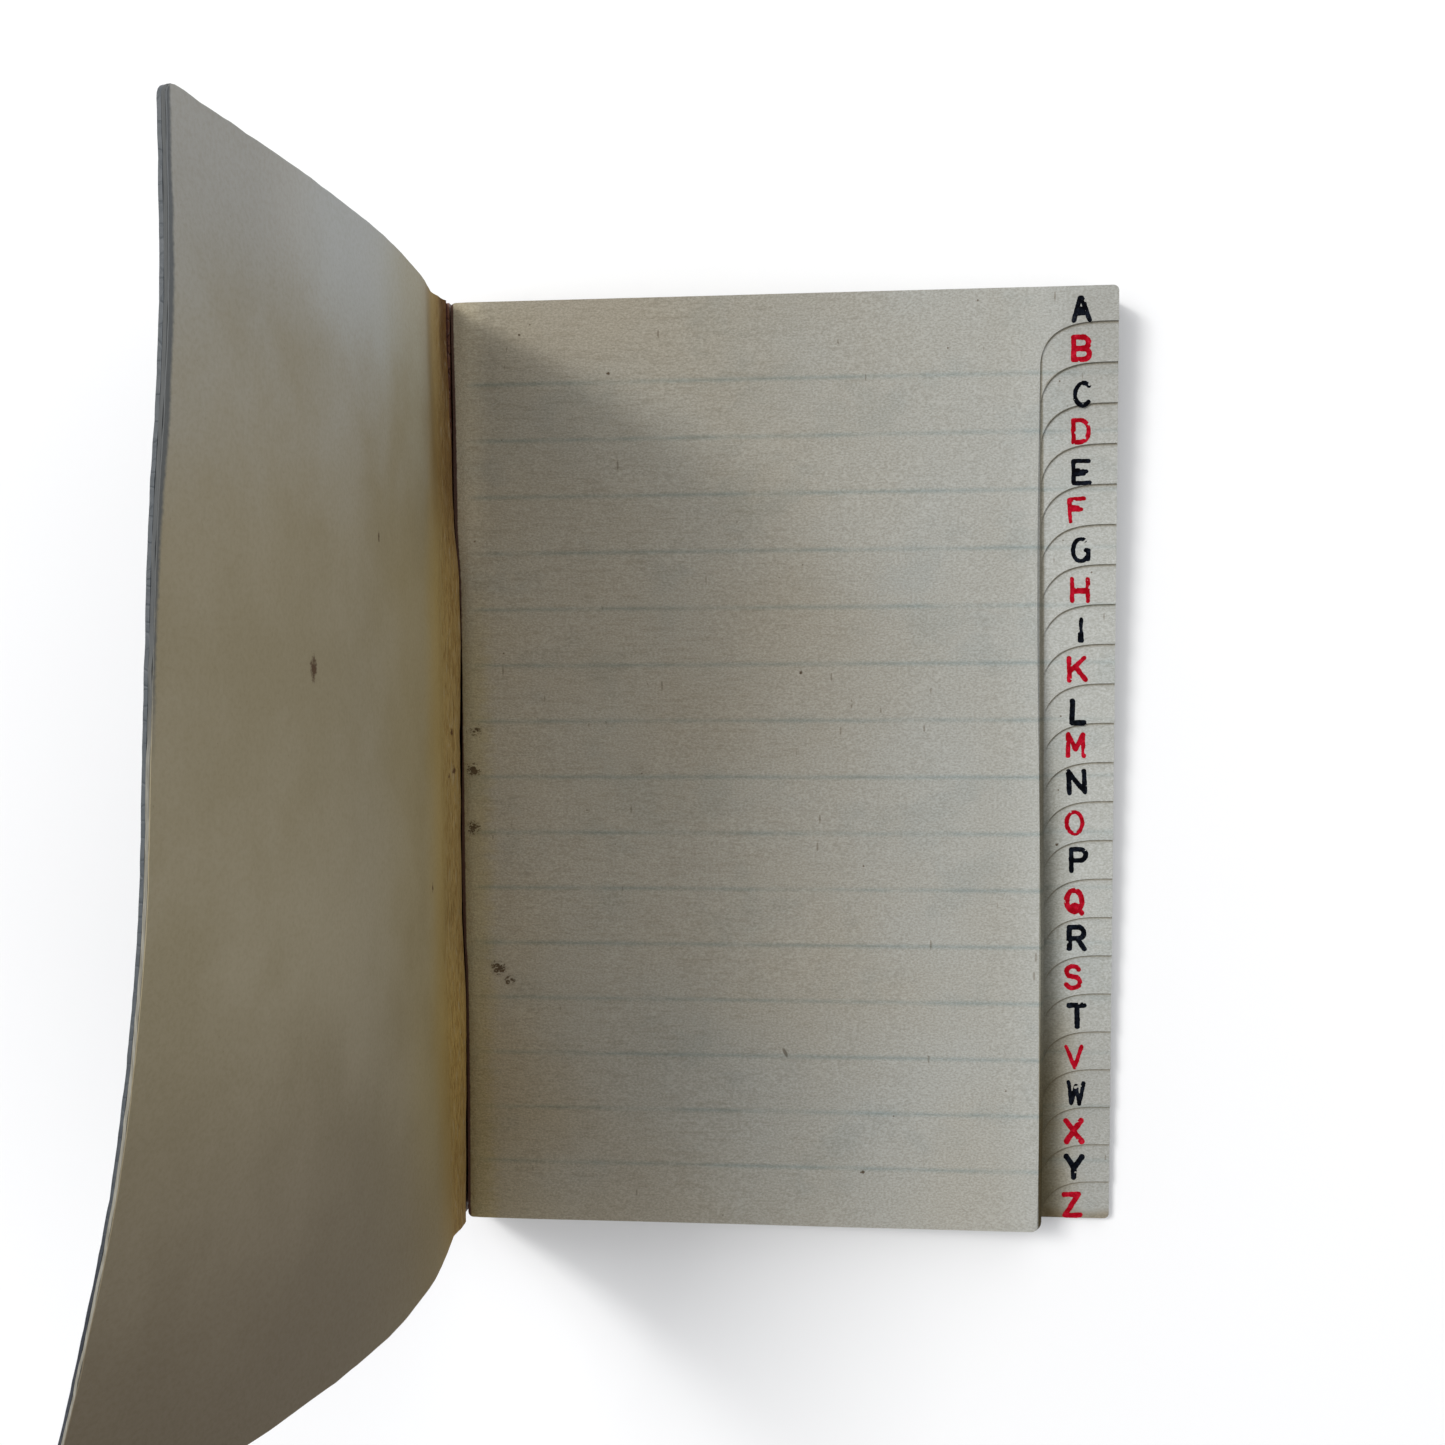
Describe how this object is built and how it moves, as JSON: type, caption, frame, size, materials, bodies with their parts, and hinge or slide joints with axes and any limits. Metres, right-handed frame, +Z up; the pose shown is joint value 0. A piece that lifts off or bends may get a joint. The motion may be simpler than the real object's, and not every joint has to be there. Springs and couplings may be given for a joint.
{
  "type": "pocket index book",
  "caption": "Slim pocket address book with a flexible leather cover and ruled leaves, step-cut along the fore edge into lettered index tabs; covers and leaves turn at the spine.",
  "frame": {"origin": "on the table under the middle of the leaves, in the outer face of the back cover", "axes": "+Z up out of the back cover, +Y towards the head of the book, +X from the spine to the fore edge"},
  "size_m": [0.0884, 0.105, 0.0803],
  "materials": {
    "leather": "fine grained, dark navy black, worn satin",
    "card": "raw cut edge",
    "lining_paper": "aged, glue-stained along the fold",
    "spine_cloth": "dark red book cloth",
    "spine_glue": "dried animal glue",
    "leaf_paper": "laid writing paper, ruled, toned with age",
    "index_ink_black": "stamped printing ink",
    "index_ink_red": "stamped printing ink"
  },
  "bodies": {
    "spine": {"spine_leather": "leather", "spine_cloth": "spine_cloth", "spine_glue": "spine_glue"},
    "back_cover": {"back_cover_leather": "leather", "back_cover_card": "card", "back_cover_lining": "lining_paper"},
    "front_cover": {"front_cover_leather": "leather", "front_cover_card": "card", "front_cover_lining": "lining_paper"},
    "leaf_A": {"leaf_A": "leaf_paper"},
    "leaf_B": {"leaf_B": "leaf_paper"},
    "leaf_C": {"leaf_C": "leaf_paper"},
    "leaf_D": {"leaf_D": "leaf_paper"},
    "leaf_E": {"leaf_E": "leaf_paper"},
    "leaf_F": {"leaf_F": "leaf_paper"},
    "leaf_G": {"leaf_G": "leaf_paper"},
    "leaf_H": {"leaf_H": "leaf_paper"},
    "leaf_I": {"leaf_I": "leaf_paper"},
    "leaf_K": {"leaf_K": "leaf_paper"},
    "leaf_L": {"leaf_L": "leaf_paper"},
    "leaf_M": {"leaf_M": "leaf_paper"},
    "leaf_N": {"leaf_N": "leaf_paper"},
    "leaf_O": {"leaf_O": "leaf_paper"},
    "leaf_P": {"leaf_P": "leaf_paper"},
    "leaf_Q": {"leaf_Q": "leaf_paper"},
    "leaf_R": {"leaf_R": "leaf_paper"},
    "leaf_S": {"leaf_S": "leaf_paper"},
    "leaf_T": {"leaf_T": "leaf_paper"},
    "leaf_V": {"leaf_V": "leaf_paper"},
    "leaf_W": {"leaf_W": "leaf_paper"},
    "leaf_X": {"leaf_X": "leaf_paper"},
    "leaf_Y": {"leaf_Y": "leaf_paper"},
    "leaf_Z": {"leaf_Z": "leaf_paper"}
  },
  "joints": [
    {"name": "front_cover_hinge", "type": "hinge", "parent": "spine", "child": "front_cover", "pos_m": [-0.03825, 0, 0.007], "axis": [0, -1, 0], "range_deg": [-83, 77]},
    {"name": "back_cover_hinge", "type": "hinge", "parent": "spine", "child": "back_cover", "pos_m": [-0.03825, 0, 0], "axis": [0, 1, 0], "range_deg": [0, 170]},
    {"name": "leaf_A_turn", "type": "hinge", "parent": "leaf_B", "child": "leaf_A", "pos_m": [-0.037, 0, 0.00603], "axis": [0, -1, 0], "range_deg": [0, 60]},
    {"name": "leaf_B_turn", "type": "hinge", "parent": "leaf_C", "child": "leaf_B", "pos_m": [-0.037, 0, 0.00581], "axis": [0, -1, 0], "range_deg": [0, 20]},
    {"name": "leaf_C_turn", "type": "hinge", "parent": "spine", "child": "leaf_C", "pos_m": [-0.037, 0, 0.00559], "axis": [0, -1, 0], "range_deg": [0, 25]},
    {"name": "leaf_D_turn", "type": "hinge", "parent": "spine", "child": "leaf_D", "pos_m": [-0.037, 0, 0.00537], "axis": [0, -1, 0], "range_deg": [0, 23.87]},
    {"name": "leaf_E_turn", "type": "hinge", "parent": "spine", "child": "leaf_E", "pos_m": [-0.037, 0, 0.00515], "axis": [0, -1, 0], "range_deg": [0, 22.74]},
    {"name": "leaf_F_turn", "type": "hinge", "parent": "spine", "child": "leaf_F", "pos_m": [-0.037, 0, 0.00493], "axis": [0, -1, 0], "range_deg": [0, 21.6]},
    {"name": "leaf_G_turn", "type": "hinge", "parent": "spine", "child": "leaf_G", "pos_m": [-0.037, 0, 0.00471], "axis": [0, -1, 0], "range_deg": [0, 20.47]},
    {"name": "leaf_H_turn", "type": "hinge", "parent": "spine", "child": "leaf_H", "pos_m": [-0.037, 0, 0.00449], "axis": [0, -1, 0], "range_deg": [0, 19.33]},
    {"name": "leaf_I_turn", "type": "hinge", "parent": "spine", "child": "leaf_I", "pos_m": [-0.037, 0, 0.00427], "axis": [0, -1, 0], "range_deg": [0, 18.19]},
    {"name": "leaf_K_turn", "type": "hinge", "parent": "spine", "child": "leaf_K", "pos_m": [-0.037, 0, 0.00405], "axis": [0, -1, 0], "range_deg": [0, 17.05]},
    {"name": "leaf_L_turn", "type": "hinge", "parent": "spine", "child": "leaf_L", "pos_m": [-0.037, 0, 0.00383], "axis": [0, -1, 0], "range_deg": [0, 15.92]},
    {"name": "leaf_M_turn", "type": "hinge", "parent": "spine", "child": "leaf_M", "pos_m": [-0.037, 0, 0.00361], "axis": [0, -1, 0], "range_deg": [0, 14.78]},
    {"name": "leaf_N_turn", "type": "hinge", "parent": "spine", "child": "leaf_N", "pos_m": [-0.037, 0, 0.00339], "axis": [0, -1, 0], "range_deg": [0, 13.65]},
    {"name": "leaf_O_turn", "type": "hinge", "parent": "spine", "child": "leaf_O", "pos_m": [-0.037, 0, 0.00317], "axis": [0, -1, 0], "range_deg": [0, 12.51]},
    {"name": "leaf_P_turn", "type": "hinge", "parent": "spine", "child": "leaf_P", "pos_m": [-0.037, 0, 0.00295], "axis": [0, -1, 0], "range_deg": [0, 11.37]},
    {"name": "leaf_Q_turn", "type": "hinge", "parent": "spine", "child": "leaf_Q", "pos_m": [-0.037, 0, 0.00273], "axis": [0, -1, 0], "range_deg": [0, 10.24]},
    {"name": "leaf_R_turn", "type": "hinge", "parent": "spine", "child": "leaf_R", "pos_m": [-0.037, 0, 0.00251], "axis": [0, -1, 0], "range_deg": [0, 9.1]},
    {"name": "leaf_S_turn", "type": "hinge", "parent": "spine", "child": "leaf_S", "pos_m": [-0.037, 0, 0.00229], "axis": [0, -1, 0], "range_deg": [0, 7.96]},
    {"name": "leaf_T_turn", "type": "hinge", "parent": "spine", "child": "leaf_T", "pos_m": [-0.037, 0, 0.00207], "axis": [0, -1, 0], "range_deg": [0, 6.83]},
    {"name": "leaf_V_turn", "type": "hinge", "parent": "spine", "child": "leaf_V", "pos_m": [-0.037, 0, 0.00185], "axis": [0, -1, 0], "range_deg": [0, 5.69]},
    {"name": "leaf_W_turn", "type": "hinge", "parent": "spine", "child": "leaf_W", "pos_m": [-0.037, 0, 0.00163], "axis": [0, -1, 0], "range_deg": [0, 4.55]},
    {"name": "leaf_X_turn", "type": "hinge", "parent": "spine", "child": "leaf_X", "pos_m": [-0.037, 0, 0.00141], "axis": [0, -1, 0], "range_deg": [0, 3.42]},
    {"name": "leaf_Y_turn", "type": "hinge", "parent": "spine", "child": "leaf_Y", "pos_m": [-0.037, 0, 0.00119], "axis": [0, -1, 0], "range_deg": [0, 2.28]},
    {"name": "leaf_Z_turn", "type": "hinge", "parent": "spine", "child": "leaf_Z", "pos_m": [-0.037, 0, 0.00097], "axis": [0, -1, 0], "range_deg": [0, 1.15]}
  ],
  "couplings": [
    {"joint": "leaf_D_turn", "follows": "leaf_C_turn", "ratio": 0.9545},
    {"joint": "leaf_E_turn", "follows": "leaf_C_turn", "ratio": 0.9091},
    {"joint": "leaf_F_turn", "follows": "leaf_C_turn", "ratio": 0.8636},
    {"joint": "leaf_G_turn", "follows": "leaf_C_turn", "ratio": 0.8182},
    {"joint": "leaf_H_turn", "follows": "leaf_C_turn", "ratio": 0.7727},
    {"joint": "leaf_I_turn", "follows": "leaf_C_turn", "ratio": 0.7273},
    {"joint": "leaf_K_turn", "follows": "leaf_C_turn", "ratio": 0.6818},
    {"joint": "leaf_L_turn", "follows": "leaf_C_turn", "ratio": 0.6364},
    {"joint": "leaf_M_turn", "follows": "leaf_C_turn", "ratio": 0.5909},
    {"joint": "leaf_N_turn", "follows": "leaf_C_turn", "ratio": 0.5455},
    {"joint": "leaf_O_turn", "follows": "leaf_C_turn", "ratio": 0.5},
    {"joint": "leaf_P_turn", "follows": "leaf_C_turn", "ratio": 0.4545},
    {"joint": "leaf_Q_turn", "follows": "leaf_C_turn", "ratio": 0.4091},
    {"joint": "leaf_R_turn", "follows": "leaf_C_turn", "ratio": 0.3636},
    {"joint": "leaf_S_turn", "follows": "leaf_C_turn", "ratio": 0.3182},
    {"joint": "leaf_T_turn", "follows": "leaf_C_turn", "ratio": 0.2727},
    {"joint": "leaf_V_turn", "follows": "leaf_C_turn", "ratio": 0.2273},
    {"joint": "leaf_W_turn", "follows": "leaf_C_turn", "ratio": 0.1818},
    {"joint": "leaf_X_turn", "follows": "leaf_C_turn", "ratio": 0.1364},
    {"joint": "leaf_Y_turn", "follows": "leaf_C_turn", "ratio": 0.0909},
    {"joint": "leaf_Z_turn", "follows": "leaf_C_turn", "ratio": 0.0455}
  ]
}
